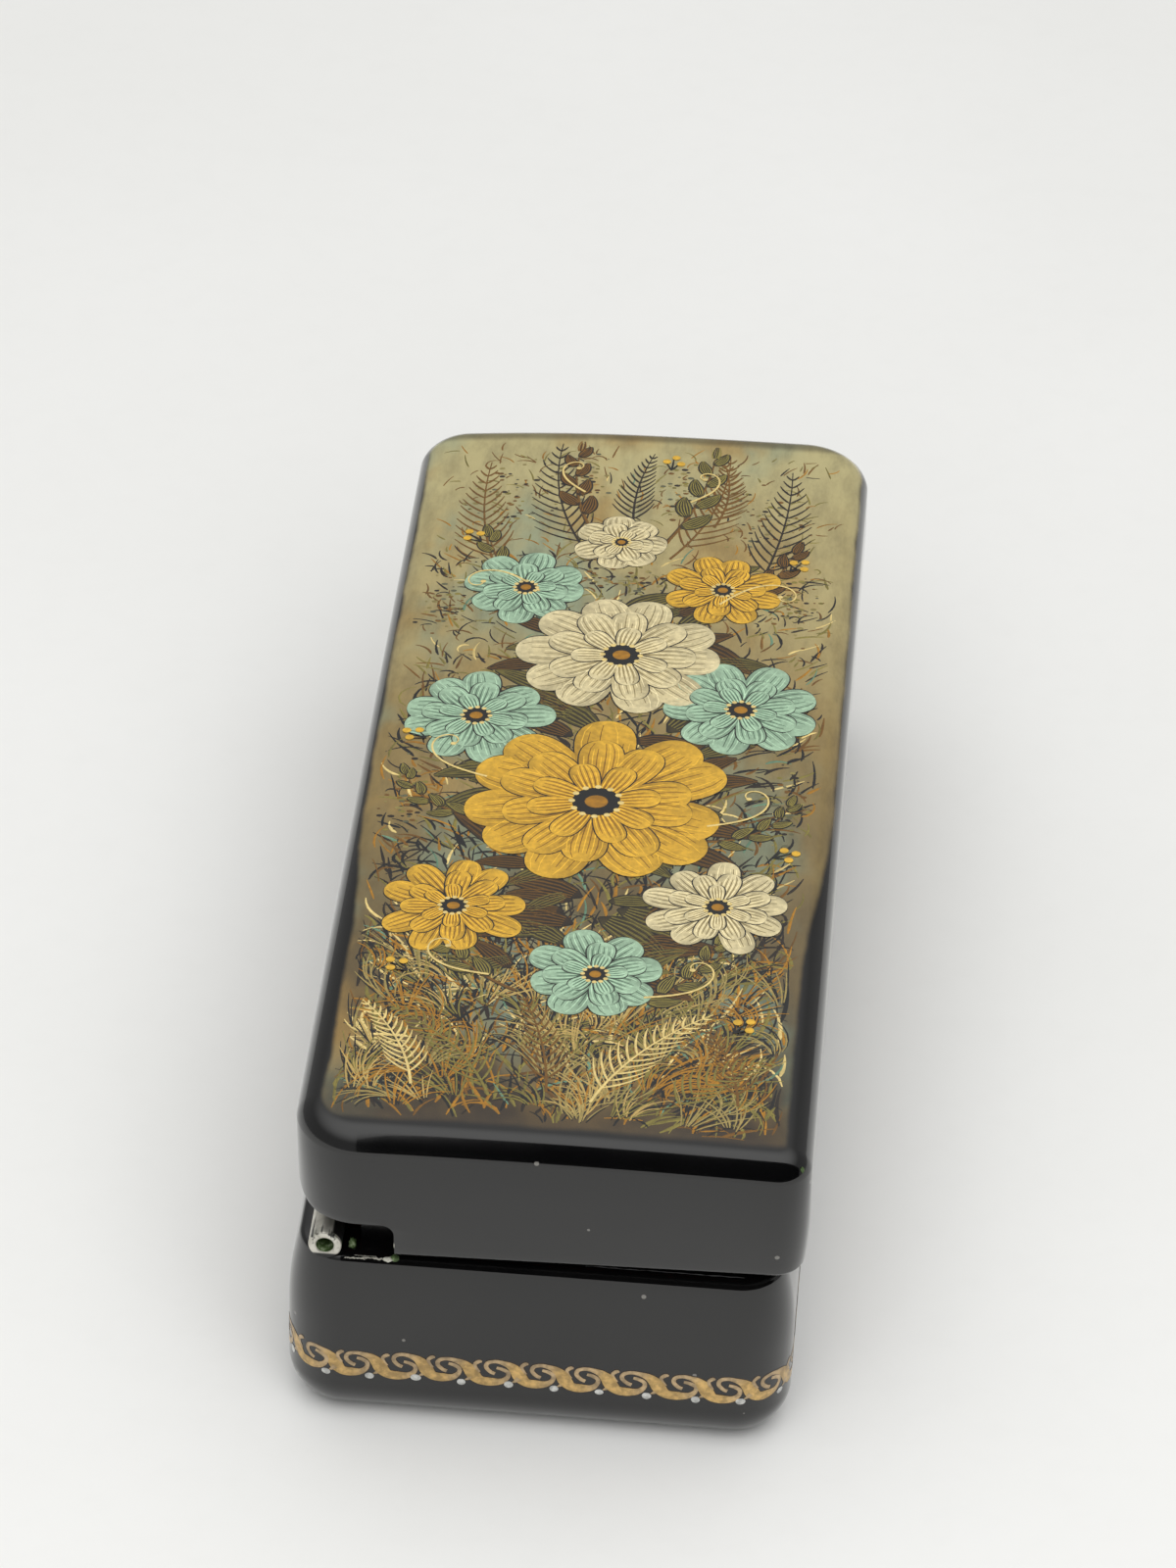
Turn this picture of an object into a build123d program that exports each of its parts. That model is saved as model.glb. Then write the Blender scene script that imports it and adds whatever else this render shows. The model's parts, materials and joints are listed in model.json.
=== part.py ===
import os
from math import cos, radians, sin

from build123d import *

# Small hinged box of papier-mache under lacquer, its lid standing slightly ajar.
# Millimetres. X runs across the box from the hinge side to the opening side, Y along it,
# Z up, and the origin is the middle of the face that the box stands on.

# Base
BASE_WIDTH = 45.8
BASE_LENGTH = 115.9
BASE_RIM = 18.75
BASE_FRONT_CORNER = 5.2
BASE_WALL = 3.45
BASE_LEAN = 0.9
BASE_LEAN_RUN = 8.0
FOOT_ROUND = 4.5
FLOOR_EDGE = 4.8
FLOOR_THICK = 3.0
LIP_THICK = 1.6
LIP_RISE = 2.4
LIP_ROUND = 0.5
LIP_CUT_BACK = 3.0

# Lid, drawn in its own frame, which is turned about the hinge by the angle it stands open
LID_WIDTH = 45.9
LID_LENGTH = 116.0
LID_OPEN_CORNER = 3.2
LID_HINGE_CORNER = 6.0
LID_OVERHANG = 0.95
LID_AJAR = 1.4
LID_GAP = 0.85
LID_WALL = 2.6
LID_HINGE_WALL = 3.8
LID_LEAN = 0.4
LID_LEAN_RUN = 7.0
LID_SEAT = 10.3
LID_EDGE = 13.4
LID_EDGE_ROUND = 2.4
CROWN = 0.5

# Cut along the lid's hinge side, open through both end walls
NOTCH_RISE = 3.85
NOTCH_REACH = 6.3
NOTCH_ROUND = 1.2
BACK_ROUND = 2.4

# Hinge
AXIS_X = -19.2
AXIS_Z = 19.9
BARREL_LENGTH = 114.0
BARREL_RADIUS = 1.5
PIN_RADIUS = 0.8
PIN_INSET = 2.0
BASE_KNUCKLE = 22.0
KNUCKLE_GAP = 0.2
RUNNING_FIT = 0.06
LEAF_THICK = 0.5
LEAF_DEPTH = 3.0
LEAF_ROOT = 1.2
LEAF_INSET = 5.7
CRADLE_FIT = 0.02
SWING_FIT = 0.25

# Both halves are rounder at the rear end than at the front end
REAR_CORNER = 6.6
INNER_CORNER = 0.5
RIM_ROUND = 0.5
LONG = 200.0

os.makedirs("parts", exist_ok=True)

tilt = radians(LID_AJAR)
across = (cos(tilt), 0, sin(tilt))
upright = (-sin(tilt), 0, cos(tilt))
lid_plane = Plane(origin=(AXIS_X, 0, BASE_RIM + LID_GAP), x_dir=across, z_dir=upright)
lid_middle = LID_OVERHANG - AXIS_X
lid_back = lid_middle - LID_WIDTH / 2
lid_front = lid_back + LID_WIDTH

# Planes across the box: through the lid's frame, and at the opening side of the base and lid
lid_section = Plane(origin=lid_plane.origin, x_dir=across, z_dir=(0, -1, 0))
base_side = Plane(origin=(BASE_WIDTH / 2, 0, 0), x_dir=(1, 0, 0), z_dir=(0, -1, 0))
lid_side = Plane(
    origin=lid_plane.from_local_coords((lid_front, 0, 0)), x_dir=across, z_dir=(0, -1, 0)
)

# Planes across the hinge line, one upright and one turned with the lid
base_hinge = Plane(origin=(AXIS_X, 0, AXIS_Z), x_dir=(1, 0, 0), z_dir=(0, -1, 0))
lid_hinge = Plane(origin=(AXIS_X, 0, AXIS_Z), x_dir=across, z_dir=(0, -1, 0))

# Where each knuckle begins and ends along the hinge line
first = BARREL_LENGTH / 2 - BASE_KNUCKLE
base_spans = {
    "front": (-BARREL_LENGTH / 2, -first),
    "middle": (-BASE_KNUCKLE / 2, BASE_KNUCKLE / 2),
    "rear": (first, BARREL_LENGTH / 2),
}
lid_spans = {
    "front": (-first, -BASE_KNUCKLE / 2),
    "rear": (BASE_KNUCKLE / 2, first),
}


def base_plan(inset=0.0):
    """The base seen from above, or an outline inside it."""
    with BuildSketch() as shape:
        Rectangle(BASE_WIDTH - 2 * inset, BASE_LENGTH - 2 * inset)
        for end, corner in ((0, BASE_FRONT_CORNER), (-1, REAR_CORNER)):
            fillet(shape.vertices().group_by(Axis.Y)[end], max(corner - inset, INNER_CORNER))
    return shape.sketch


def half_outline(plane, middle, width, end, radii):
    """Path half-way round a box, from its opening side past one end to its hinge side."""
    side = width / 2
    corners = [(side, 0), (side, end), (-side, end), (-side, 0)]
    with BuildLine(plane) as path:
        FilletPolyline(*[(middle + x, y) for x, y in corners], radius=radii)
    return path.wire()


def wall_section(plane, thick, seat, rim, lean, run):
    """Wall cut across: upright from its seat, then leaning in to a softened rim."""
    way = 1 if rim > seat else -1
    with BuildSketch(plane) as section:
        with BuildLine():
            Polyline((-thick, rim), (-thick, seat), (0, seat), (0, rim - way * run))
            leaning = TangentArc(
                (0, rim - way * run), (-lean, rim - way * RIM_ROUND), tangent=(0, way)
            )
            rounded = TangentArc(leaning @ 1, (-lean - RIM_ROUND, rim), tangent=leaning % 1)
            Line(rounded @ 1, (-thick, rim))
        make_face()
    return section.sketch


def leaf_end(leaf_side):
    """How far a leaf reaches from the hinge line into the lid or the base."""
    lid_edge = BASE_RIM + LID_GAP + NOTCH_RISE - AXIS_Z
    return (lid_edge if leaf_side > 0 else AXIS_Z - BASE_RIM) + LEAF_DEPTH


def leaf(plane, span, leaf_side, root=0.0):
    """Strip that runs up or down from a knuckle into the wall that holds it."""
    start, end = span[0] + LEAF_INSET, span[1] - LEAF_INSET
    reach = leaf_end(leaf_side)
    with BuildPart() as strip:
        with BuildSketch(plane.offset(-end)):
            with Locations((0, leaf_side * (root + reach) / 2)):
                Rectangle(LEAF_THICK, reach - root)
        extrude(amount=end - start)
    return strip.part


def knuckle(plane, span, bore, leaf_side):
    """Hinge tube with its leaf."""
    start, end = span[0] + KNUCKLE_GAP / 2, span[1] - KNUCKLE_GAP / 2
    with BuildPart() as piece:
        with BuildSketch(plane.offset(-end)):
            Circle(BARREL_RADIUS)
            Circle(bore, mode=Mode.SUBTRACT)
        extrude(amount=end - start)
        add(leaf(plane, span, leaf_side, LEAF_ROOT))
    return piece


def cradles():
    """Barrel's bed in the base: snug under its own knuckles, free under the lid's."""
    with BuildPart() as bed:
        with BuildSketch(base_hinge):
            Circle(BARREL_RADIUS + CRADLE_FIT)
        extrude(amount=LONG / 2, both=True)
        for start, end in lid_spans.values():
            with BuildSketch(base_hinge.offset(-end)):
                Circle(BARREL_RADIUS + SWING_FIT)
            extrude(amount=end - start)
    return bed.part


# Base floor: a pressed dish with a rounded foot, carrying the wall and the lip on its edge
with BuildPart() as base_floor:
    with BuildSketch():
        add(base_plan())
    extrude(amount=FLOOR_EDGE)
    fillet(base_floor.faces().sort_by(Axis.Z)[0].edges(), FOOT_ROUND)
    with BuildSketch(Plane.XY.offset(FLOOR_THICK)):
        add(base_plan(BASE_WALL + LIP_THICK))
    extrude(amount=FLOOR_EDGE - FLOOR_THICK, mode=Mode.SUBTRACT)

# Base wall: one wound ring that leans in a little to its rim, bedded for the barrel
with BuildPart() as base_wall:
    for end, corner in ((-BASE_LENGTH / 2, BASE_FRONT_CORNER), (BASE_LENGTH / 2, REAR_CORNER)):
        sweep(
            sections=wall_section(base_side, BASE_WALL, FLOOR_EDGE, BASE_RIM, BASE_LEAN, BASE_LEAN_RUN),
            path=half_outline(Plane.XY, 0, BASE_WIDTH, end, (corner, corner)),
        )
    add(cradles(), mode=Mode.SUBTRACT)

# Base lip: a collar inside the wall, proud of the rim on all but the hinge side
with BuildPart() as base_lip:
    with BuildSketch(Plane.XY.offset(FLOOR_EDGE)):
        add(base_plan(BASE_WALL))
        add(base_plan(BASE_WALL + LIP_THICK), mode=Mode.SUBTRACT)
    extrude(amount=BASE_RIM + LIP_RISE - FLOOR_EDGE)
    fillet(base_lip.faces().sort_by(Axis.Z)[-1].outer_wire().edges(), LIP_ROUND)
    with BuildSketch(Plane.XY.offset(BASE_RIM)):
        with Locations((AXIS_X + LIP_CUT_BACK, 0)):
            Rectangle(LONG, LONG, align=(Align.MAX, Align.CENTER))
    extrude(amount=LIP_RISE, mode=Mode.SUBTRACT)
    add(cradles(), mode=Mode.SUBTRACT)
    for span in base_spans.values():
        add(leaf(base_hinge, span, -1), mode=Mode.SUBTRACT)

# Lid wall: one wound ring, cut short over the hinge so that the cut runs out as two notches
with BuildPart() as lid_wall:
    front_radii, rear_radii = (LID_OPEN_CORNER, LID_HINGE_CORNER), (REAR_CORNER, REAR_CORNER)
    for end, radii in ((-LID_LENGTH / 2, front_radii), (LID_LENGTH / 2, rear_radii)):
        sweep(
            sections=wall_section(lid_side, LID_WALL, LID_SEAT, 0, LID_LEAN, LID_LEAN_RUN),
            path=half_outline(lid_plane, lid_middle, LID_WIDTH, end, radii),
        )
    with BuildSketch(lid_plane):
        with Locations((lid_back + LID_WALL, 0)):
            Rectangle(
                LID_HINGE_WALL - LID_WALL,
                LID_LENGTH - 2 * LID_WALL,
                align=(Align.MIN, Align.CENTER),
            )
    extrude(amount=LID_SEAT)
    with BuildSketch(lid_section):
        with BuildLine():
            low, high = -RIM_ROUND, NOTCH_RISE + BACK_ROUND
            corner_top = (NOTCH_REACH - NOTCH_ROUND, NOTCH_RISE)
            corner_side = (NOTCH_REACH, NOTCH_RISE - NOTCH_ROUND)
            Polyline(corner_side, (NOTCH_REACH, low), (-LONG, low), (-LONG, high), (lid_back, high))
            RadiusArc((lid_back, high), (lid_back + BACK_ROUND, NOTCH_RISE), -BACK_ROUND)
            Line((lid_back + BACK_ROUND, NOTCH_RISE), corner_top)
            RadiusArc(corner_top, corner_side, NOTCH_ROUND)
        make_face()
    extrude(amount=LONG / 2, both=True, mode=Mode.SUBTRACT)
    for span in lid_spans.values():
        add(leaf(lid_hinge, span, 1), mode=Mode.SUBTRACT)

# Lid top: a pressed plate, crowned across, with a rounded edge
with BuildPart() as lid_top:
    with BuildSketch(lid_section):
        with BuildLine():
            back_edge, front_edge = (lid_back, LID_EDGE), (lid_front, LID_EDGE)
            ThreePointArc(back_edge, (lid_middle, LID_EDGE + CROWN), front_edge)
            Polyline(front_edge, (lid_front, LID_SEAT), (lid_back, LID_SEAT), back_edge)
        make_face()
    extrude(amount=LID_LENGTH / 2, both=True)
    upward = Axis(lid_plane.origin, upright)
    fillet(lid_top.edges().filter_by(upward).group_by(Axis.Y)[-1], REAR_CORNER)
    for side, corner in ((0, LID_HINGE_CORNER), (-1, LID_OPEN_CORNER)):
        front_edges = lid_top.edges().filter_by(upward).group_by(Axis.Y)[0]
        fillet(front_edges.sort_by(Axis.X)[side], corner)
    crowned = lid_top.faces().sort_by(upward)[-1]
    fillet(crowned.edges(), LID_EDGE_ROUND)

# Hinge: tubes in turn on the base and the lid, on one wire pin that ends inside the outer tubes
pieces = {"base_floor": base_floor, "base_wall": base_wall, "base_lip": base_lip}
for place, span in base_spans.items():
    pieces[f"base_knuckle_{place}"] = knuckle(base_hinge, span, PIN_RADIUS, -1)

with BuildPart() as hinge_pin:
    with BuildSketch(base_hinge):
        Circle(PIN_RADIUS)
    extrude(amount=BARREL_LENGTH / 2 - PIN_INSET, both=True)
pieces["hinge_pin"] = hinge_pin

pieces["lid_wall"] = lid_wall
pieces["lid_top"] = lid_top
for place, span in lid_spans.items():
    pieces[f"lid_knuckle_{place}"] = knuckle(lid_hinge, span, PIN_RADIUS + RUNNING_FIT, 1)

for name, piece in pieces.items():
    piece.part.label = name
    export_step(piece.part, f"parts/{name}.step")
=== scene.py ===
import json
from math import cos, pi, radians, sin, tau

import bmesh
import bpy
import numpy as np
from mathutils import Matrix, Vector


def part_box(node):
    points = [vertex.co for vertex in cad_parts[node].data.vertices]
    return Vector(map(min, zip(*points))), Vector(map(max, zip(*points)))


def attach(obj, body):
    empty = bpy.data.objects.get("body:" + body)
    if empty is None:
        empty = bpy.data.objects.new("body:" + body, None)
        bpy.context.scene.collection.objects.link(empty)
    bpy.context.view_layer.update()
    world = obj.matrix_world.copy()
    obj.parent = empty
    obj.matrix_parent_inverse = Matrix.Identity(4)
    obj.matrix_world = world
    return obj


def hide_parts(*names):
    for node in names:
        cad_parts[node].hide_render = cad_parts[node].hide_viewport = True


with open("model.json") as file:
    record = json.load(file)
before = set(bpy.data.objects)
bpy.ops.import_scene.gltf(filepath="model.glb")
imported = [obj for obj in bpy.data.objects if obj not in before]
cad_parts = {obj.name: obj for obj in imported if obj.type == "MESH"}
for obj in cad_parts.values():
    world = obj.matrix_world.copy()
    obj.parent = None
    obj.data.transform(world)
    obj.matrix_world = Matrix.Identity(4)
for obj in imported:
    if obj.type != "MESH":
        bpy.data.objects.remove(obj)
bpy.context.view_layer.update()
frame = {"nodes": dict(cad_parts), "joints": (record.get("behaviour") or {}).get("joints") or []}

# Lengths are in millimetres, in the frame of the part: X from the hinge side to the opening
# side, Y along the box, Z up from the table. Meshes are scaled to metres when they are made.
MM = 0.001
RNG = np.random.default_rng(20)

# The visible skins lie this far inside the solids, so that the paint on them stays in bounds
SKIN = 0.045


def node_box(name):
    low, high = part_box(name)
    return np.array(low) / MM, np.array(high) / MM


# Base
base_low, base_high = node_box("base_wall")
BASE_WIDTH = base_high[0] - base_low[0]
BASE_LENGTH = base_high[1] - base_low[1]
BASE_RIM = base_high[2]
BASE_SEAT = base_low[2]
BASE_WALL = 3.45
BASE_LEAN = 0.9
BASE_LEAN_RUN = 8.0
FOOT_ROUND = 4.5
FLOOR_THICK = 3.0
LIP_THICK = 1.6
LIP_SKIN = 0.1
COLLAR_BLACK = 9.0
RIM_ROUND = 0.5
BED_EDGE = 0.12
WALL_RING = 4.0

# Lid, in its own frame: x from the middle of the lid, y along it, height above its rim
LID_WIDTH = 45.9
LID_LENGTH = 116.0
LID_OVERHANG = 0.95
LID_AJAR = 1.4
LID_GAP = 0.85
LID_WALL = 2.6
LID_HINGE_WALL = 3.8
LID_RED = 5.0
LID_LEAN = 0.4
LID_LEAN_RUN = 7.0
LID_CEILING = 10.3
LID_EDGE = 13.4
LID_EDGE_ROUND = 2.4
CROWN = 0.34
END_DROP = 0.15
TWIST = 0.45
FAR_DROP = 0.9
NOTCH_RISE = 3.85
NOTCH_REACH = 6.3
NOTCH_ROUND = 1.2
NOTCH_EDGE = 0.25
BACK_ROUND = 2.4
CUT_LOW = -2.0
CUT_BEHIND = 8.0

# Corner radii seen from above: rear right, rear left, front left and front right
BASE_CORNERS = np.array([6.6, 6.6, 5.2, 5.2])
LID_CORNERS = np.array([6.6, 4.8, 6.0, 3.2])

# Hinge
AXIS_X, _, AXIS_Z = np.array(frame["joints"][0]["pos_m"]) / MM
BARREL_RADIUS = 1.5
BORE_RADIUS = 0.8
CRADLE_FIT = 0.04
SWING_FIT = 0.25
SWING_ENDS = 0.1
TUBE_EDGE = 0.18
# Painted shade at the ends of the hinge tubes: how far in it reaches, where it sets in below the hinge line
# and on the side toward the box, and how far in from the tube's end the side shade starts
END_SHADE_REACH = 8.0
SHADE_BELOW = (-1.0, -0.8)
SHADE_INNER = (0.45, 0.75)
SHADE_BEHIND = 0.3
TUBE_SET_IN = node_box("base_knuckle_front")[0][1] - base_low[1]
LEAF_THICK = 0.5
LEAF_INSET = 5.7
LEAF_ROOT = 1.2
LEAF_SHY = 0.01

# How finely the meshes follow the rounds and straights, and where their points are welded
ARC_STEPS = 20
SIDE_STEPS = 32
END_STEPS = 14
LEAN_STEPS = 8
RIM_STEPS = 6
FOOT_STEPS = 16
ROLL_STEPS = 15
TOP_STEPS = 20
TOP_CENTRE = 0.04
NOTCH_STEPS = 10
BACK_STEPS = 14
ROD_STEPS = 64
TUBE_STEPS = 72
EASE_STEPS = 5
CUT_STEPS = 3
WELD = 0.002

tilt = radians(LID_AJAR)
ACROSS = np.array([cos(tilt), 0, sin(tilt)])
ALONG = np.array([0.0, 1.0, 0.0])
UPRIGHT = np.array([-sin(tilt), 0, cos(tilt)])
LID_MIDDLE = LID_OVERHANG - AXIS_X
LID_ORIGIN = np.array([AXIS_X, 0, BASE_RIM + LID_GAP])


def lid_place(x, y, height):
    """Points given in the lid's frame, in the frame of the part."""
    x, y, height = (v[..., None] for v in np.broadcast_arrays(x, y, np.asarray(height, float)))
    return LID_ORIGIN + (LID_MIDDLE + x) * ACROSS + y * ALONG + height * UPRIGHT


# Outlines and profiles

def outline(width, length, corners, middle=0.0):
    """Points round a box seen from above, anticlockwise, with their outward normals."""
    half = np.array([width, length]) / 2
    signs = np.array([(1, 1), (-1, 1), (-1, -1), (1, -1)])
    centres = signs * (half - corners[:, None])
    steps = [END_STEPS, SIDE_STEPS, END_STEPS, SIDE_STEPS]
    points, normals = [], []
    for turn, count in enumerate(steps):
        angles = turn * pi / 2 + np.linspace(0, pi / 2, ARC_STEPS + 1)
        arc_normals = spokes(angles)
        arc = centres[turn] + corners[turn] * arc_normals
        after = (turn + 1) % 4
        following = centres[after] + corners[after] * arc_normals[-1]
        shares = np.linspace(0, 1, count + 1)[1:-1, None]
        points += [arc, arc[-1] + shares * (following - arc[-1])]
        normals += [arc_normals, np.repeat(arc_normals[-1:], count - 1, axis=0)]
    return np.concatenate(points) + (middle, 0), np.concatenate(normals)


def lid_inset(x, y):
    """Distance from the lid's outline, seen from above."""
    rear_right, rear_left, front_left, front_right = LID_CORNERS
    rear = rear_left + (x > 0) * (rear_right - rear_left)
    front = front_left + (x > 0) * (front_right - front_left)
    corner = front + (y > 0) * (rear - front)
    beyond_x = abs(x) - LID_WIDTH / 2 + corner
    beyond_y = abs(y) - LID_LENGTH / 2 + corner
    outside = np.sqrt(np.maximum(beyond_x, 0) ** 2 + np.maximum(beyond_y, 0) ** 2)
    return corner - outside - np.minimum(np.maximum(beyond_x, beyond_y), 0)


def spokes(angles):
    """Unit vectors at angles."""
    return np.stack([np.cos(angles), np.sin(angles)], axis=1)


def tangent_arc(start, way, end, steps):
    """Points after start on the arc that leaves it in a given way and reaches end, and the last way."""
    start, way, end = (np.asarray(v, float) for v in (start, way, end))
    way = way / np.linalg.norm(way)
    inward = np.array([-way[1], way[0]])
    chord = end - start
    radius = chord @ chord / (2 * chord @ inward)
    centre = start + radius * inward
    turn = 2 * np.arctan2(chord @ inward, chord @ way)
    angles = np.linspace(0, turn, steps + 1)[1:]
    spoke = start - centre
    points = [centre + rotated(spoke, angle) for angle in angles]
    return points, rotated(way, turn)


def rotated(vector, angle):
    return np.array([
        vector[0] * cos(angle) - vector[1] * sin(angle),
        vector[0] * sin(angle) + vector[1] * cos(angle),
    ])


def wall_profile(top, lean, run):
    """Insets and heights up the outside of a wall that leans in to a softened rim at its top."""
    leaning, way = tangent_arc((0, top - run), (0, 1), (lean, top - RIM_ROUND), LEAN_STEPS)
    softened, _ = tangent_arc(leaning[-1], way, (lean + RIM_ROUND, top), RIM_STEPS)
    return [(0, top - run), *leaning, *softened]


# Meshes

def skin(rings, looped=False):
    """Vertices and faces of a closed skin through rings of equally many points, capped or looped."""
    count = len(rings[0])
    here = np.arange(count)
    following = (here + 1) % count
    faces = []
    for low in range(len(rings) if looped else len(rings) - 1):
        a, b = low * count, (low + 1) % len(rings) * count
        faces += np.stack([a + here, a + following, b + following, b + here], axis=1).tolist()
    if not looped:
        faces += [here[::-1].tolist(), ((len(rings) - 1) * count + here).tolist()]
    return np.concatenate(rings), faces


def add_piece(name, vertices, faces, materials, indices=0):
    """New object from vertices in millimetres, with one material index or one for each face."""
    mesh = bpy.data.meshes.new(name)
    mesh.from_pydata((np.asarray(vertices) * MM).tolist(), [], faces)
    for material in materials:
        mesh.materials.append(material)
    mesh.polygons.foreach_set("material_index", np.broadcast_to(indices, len(faces)).tolist())
    piece = bpy.data.objects.new(name, mesh)
    bpy.context.scene.collection.objects.link(piece)
    return piece


def smooth(piece, angle=32):
    piece.data.shade_smooth()
    piece.data.set_sharp_from_angle(angle=radians(angle))


def combine(piece, other, operation="DIFFERENCE"):
    """Cuts the other mesh from the piece, or joins it, and removes the other."""
    modifier = piece.modifiers.new("combine", "BOOLEAN")
    modifier.object = other
    modifier.operation = operation
    modifier.solver = "EXACT"
    modifier.material_mode = "INDEX"
    graph = bpy.context.evaluated_depsgraph_get()
    result = bpy.data.meshes.new_from_object(piece.evaluated_get(graph))
    piece.modifiers.clear()
    piece.data = result
    bpy.data.objects.remove(other)


def soften_cut(piece, width):
    """Rounds the edges where a cut leaves the lacquered skin."""
    mesh = bmesh.new()
    mesh.from_mesh(piece.data)
    bmesh.ops.remove_doubles(mesh, verts=mesh.verts, dist=WELD * MM)
    edges = [
        edge for edge in mesh.edges
        if {face.material_index for face in edge.link_faces} == {EDGE_AT, LACQUER_AT}
    ]
    bmesh.ops.bevel(
        mesh, geom=edges, offset=width * MM, segments=CUT_STEPS, profile=0.5, affect="EDGES",
        clamp_overlap=True, material=-1,
    )
    mesh.to_mesh(piece.data)
    mesh.free()


# Materials

# Most of a noise lies between these
NOISE_RANGE = (0.3, 0.7)


class Value(np.lib.mixins.NDArrayOperatorsMixin):
    """What a node gives, which can stand in sums and in numpy's functions."""

    OPERATIONS = {
        np.add: "ADD", np.subtract: "SUBTRACT", np.multiply: "MULTIPLY", np.divide: "DIVIDE",
        np.power: "POWER", np.sqrt: "SQRT", np.absolute: "ABSOLUTE", np.maximum: "MAXIMUM",
        np.minimum: "MINIMUM", np.greater: "GREATER_THAN", np.less: "LESS_THAN",
    }

    def __init__(self, shader, socket):
        self.shader = shader
        self.socket = socket

    def __array_ufunc__(self, function, method, *values):
        sockets = dict(enumerate(values))
        return self.shader.add("Math", sockets, operation=self.OPERATIONS[function])


class Shader:
    """The nodes of a material, or of a world, with short calls that add and join them."""

    def __init__(self, name, kind="materials", surface="Principled BSDF"):
        self.owner = getattr(bpy.data, kind).new(name)
        self.owner.use_nodes = True
        self.tree = self.owner.node_tree
        self.surface = self.tree.nodes[surface]

    def set(self, **values):
        """Sets the surface's sockets, named with _ for a space."""
        for name, value in values.items():
            self.join(self.surface.inputs[name.replace("_", " ")], value)

    def join(self, socket, value):
        if isinstance(value, Value):
            self.tree.links.new(value.socket, socket)
        elif isinstance(value, tuple) and socket.type == "RGBA":
            socket.default_value = (*value, 1.0)
        else:
            socket.default_value = value

    def node(self, kind, inputs=None, **settings):
        node = self.tree.nodes.new("ShaderNode" + kind)
        for name, value in settings.items():
            setattr(node, name, value)
        for name, value in (inputs or {}).items():
            self.join(node.inputs[name], value)
        return node

    def add(self, kind, inputs=None, output=0, **settings):
        return Value(self, self.node(kind, inputs, **settings).outputs[output])

    def parts(self, kind, inputs):
        """All that a node gives."""
        return [Value(self, socket) for socket in self.node(kind, inputs).outputs]

    def place(self):
        return self.add("TexCoord", output="Object")

    def axes(self):
        """Millimetres across the box, along it and up."""
        return [axis / MM for axis in self.parts("SeparateXYZ", {0: self.place()})]

    def noise(self, scale, detail=3, rough=0.5, stretch=(1.0, 1.0, 1.0)):
        vector = self.place()
        if stretch != (1.0, 1.0, 1.0):
            vector = self.add("Mapping", {"Vector": vector, "Scale": stretch})
        inputs = {"Vector": vector, "Scale": scale, "Detail": detail, "Roughness": rough}
        return self.add("TexNoise", inputs, "Fac")

    def span(self, value, low, high, to_low=0.0, to_high=1.0, kind="SMOOTHSTEP"):
        inputs = {0: value, 1: low, 2: high, 3: to_low, 4: to_high}
        return self.add("MapRange", inputs, interpolation_type=kind)

    def blend(self, factor, first, second, how="MIX"):
        inputs = {0: factor, 6: first, 7: second}
        return self.add("Mix", inputs, 2, data_type="RGBA", blend_type=how)

    def ramp(self, factor, stops):
        node = self.node("ValToRGB", {"Fac": factor})
        elements = node.color_ramp.elements
        while len(elements) < len(stops):
            elements.new(1.0)
        for element, (position, colour) in zip(elements, stops):
            element.position = position
            element.color = (*colour, 1.0)
        return Value(self, node.outputs["Color"])

    def rough(self, noise, low, high):
        """Roughness that follows a noise."""
        self.set(Roughness=self.span(noise, *NOISE_RANGE, low, high))

    def bump(self, height, strength, distance):
        inputs = {"Height": height, "Strength": strength, "Distance": distance * MM}
        self.set(Normal=self.add("Bump", inputs))


BLACK = (0.0022, 0.0022, 0.0024)
SMOKE = (0.0045, 0.0043, 0.0042)
SOOT = (0.006, 0.006, 0.006)
RED = (0.32, 0.018, 0.010)
DEEP_RED = (0.20, 0.009, 0.006)
DUST = (0.24, 0.23, 0.21)
PAPER = (0.16, 0.145, 0.12)
PATINA = (0.10, 0.15, 0.06)
PLATING = [(0.3, (0.42, 0.40, 0.34)), (0.7, (0.72, 0.70, 0.63))]
GREEN_CRUST = [(0.30, (0.012, 0.020, 0.006)), (0.52, (0.060, 0.105, 0.030)), (0.72, (0.34, 0.40, 0.26))]
BARE_CHALK = [(0.32, (0.20, 0.20, 0.15)), (0.6, (0.58, 0.57, 0.50))]
DARK_BRASS = [(0.35, (0.030, 0.038, 0.012)), (0.7, (0.11, 0.14, 0.05))]

COAT = 0.42
COAT_ROUGHNESS = 0.04
CLEAR_IOR = 1.5
RIPPLE_FINE = 0.08
RIPPLE_DEPTH = 0.03
CRUST_DEPTH = 0.05
SPECK_SCALE = 420.0
SPECK_SIZE = 0.13
SPECK_BARE = 0.78
SPECK_SHOWN = 0.7


def gloss(shader):
    """The clear lacquer over everything that is painted."""
    shader.set(IOR=CLEAR_IOR, Coat_Weight=COAT, Coat_Roughness=COAT_ROUGHNESS, Coat_IOR=CLEAR_IOR)


def hand_rubbed(shader, strength=0.25):
    """Clear lacquer with a slight unevenness."""
    gloss(shader)
    height = shader.noise(140, 2) + shader.noise(900, 2) * RIPPLE_FINE
    shader.bump(height, strength, RIPPLE_DEPTH)


def specks(shader):
    """Sparse dust: 1 in a few small spots of uneven size."""
    distance, colour, *_ = shader.parts("TexVoronoi", {"Vector": shader.place(), "Scale": SPECK_SCALE})
    chance, size, _ = shader.parts("SeparateColor", {0: colour})
    return (distance < size * SPECK_SIZE) * (chance > SPECK_BARE)


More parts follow.
